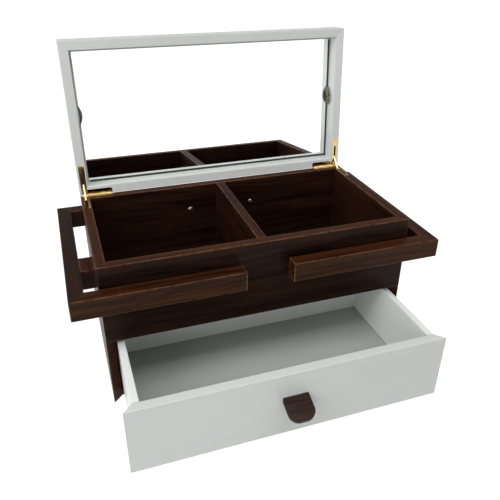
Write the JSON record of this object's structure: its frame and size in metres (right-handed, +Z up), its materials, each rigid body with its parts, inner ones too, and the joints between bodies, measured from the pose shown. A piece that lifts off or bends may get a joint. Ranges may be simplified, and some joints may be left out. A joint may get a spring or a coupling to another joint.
{
  "type": "watch and jewellery box",
  "caption": "Lacquered wooden box with a mirror lid on corner hinges, two open compartments, a hand rail round it and a drawer below.",
  "frame": {"origin": "middle of the case's underside, on the face of the felt sheet", "axes": "X along the box, Y from front to back, Z up; the drawer comes out towards -Y"},
  "size_m": [0.3512, 0.307, 0.3036],
  "materials": {
    "dark_wood": "dark red-brown wood under thick clear gloss lacquer",
    "dark_wood_inside": "the same dark wood, clear satin lacquer",
    "white_paint": "smooth off-white paint on wood, semi-gloss",
    "white_paint_inside": "off-white paint on wood, satin",
    "brass": "polished gold-coloured brass",
    "nickel": "polished nickel",
    "steel": "plain bright steel",
    "mirror": "silvered flat glass",
    "clip_plastic": "dark grey speckled plastic, glossy",
    "seal": "matt dark sealing strip",
    "board": "plain hardboard",
    "felt": "short dark felt",
    "beech": "plain pale wood, waxed"
  },
  "bodies": {
    "case": {"front_panel": "dark_wood", "left_side": "dark_wood", "right_side": "dark_wood", "back_panel": "dark_wood", "divider": "dark_wood", "compartment_floor": "dark_wood", "base_panel": "dark_wood_inside", "base_felt": "felt", "runner_left": "beech", "runner_right": "beech", "drawer_stop": "dark_wood_inside", "stop_screw": "steel", "rail_left": "dark_wood", "rail_right": "dark_wood", "rail_rear": "dark_wood", "bar_front_left": "dark_wood", "bar_front_right": "dark_wood", "spacer_left": "dark_wood", "spacer_right": "dark_wood", "spacer_rear_left": "dark_wood", "spacer_rear_right": "dark_wood", "spacer_dowels": "beech", "rail_screws": "nickel", "hinge_case_leaf_left": "brass", "hinge_case_leaf_right": "brass", "hinge_pin_left": "steel", "hinge_pin_right": "steel", "hinge_screws_case": "brass"},
    "lid": {"lid_front_rail": "white_paint", "lid_rear_rail": "white_paint", "lid_left_stile": "white_paint", "lid_right_stile": "white_paint", "mirror_glass": "mirror", "mirror_seal": "seal", "mirror_backing": "board", "lid_panel": "white_paint", "mirror_clip_left": "clip_plastic", "mirror_clip_right": "clip_plastic", "hinge_lid_leaf_left": "brass", "hinge_lid_leaf_right": "brass", "stay_pins": "steel", "hinge_screws_lid": "brass"},
    "drawer": {"drawer_front": "white_paint", "drawer_left_wall": "white_paint_inside", "drawer_right_wall": "white_paint_inside", "drawer_back_wall": "white_paint_inside", "drawer_bottom": "white_paint_inside", "drawer_pull": "dark_wood", "pull_screws": "steel"},
    "stay_left": {"stay_arm_left": "brass"},
    "stay_right": {"stay_arm_right": "brass"}
  },
  "joints": [
    {"name": "lid_hinge", "type": "hinge", "parent": "case", "child": "lid", "pos_m": [0, 0.07695, 0.1505], "axis": [1, 0, 0], "range_deg": [0, 94.6]},
    {"name": "drawer_slide", "type": "slide", "parent": "case", "child": "drawer", "axis": [0, 1, 0], "range_m": [0, 0.0865]},
    {"name": "stay_left_pivot", "type": "hinge", "parent": "lid", "child": "stay_left", "pos_m": [-0.1452, 0.08102, 0.16121], "axis": [1, 0, 0], "range_deg": [-124.03, 0]},
    {"name": "stay_right_pivot", "type": "hinge", "parent": "lid", "child": "stay_right", "pos_m": [0.1452, 0.08102, 0.16121], "axis": [1, 0, 0], "range_deg": [-124.03, 0]}
  ],
  "couplings": [
    {"joint": "stay_left_pivot", "follows": "lid_hinge", "ratio": -1.3058},
    {"joint": "stay_right_pivot", "follows": "lid_hinge", "ratio": -1.3058}
  ]
}
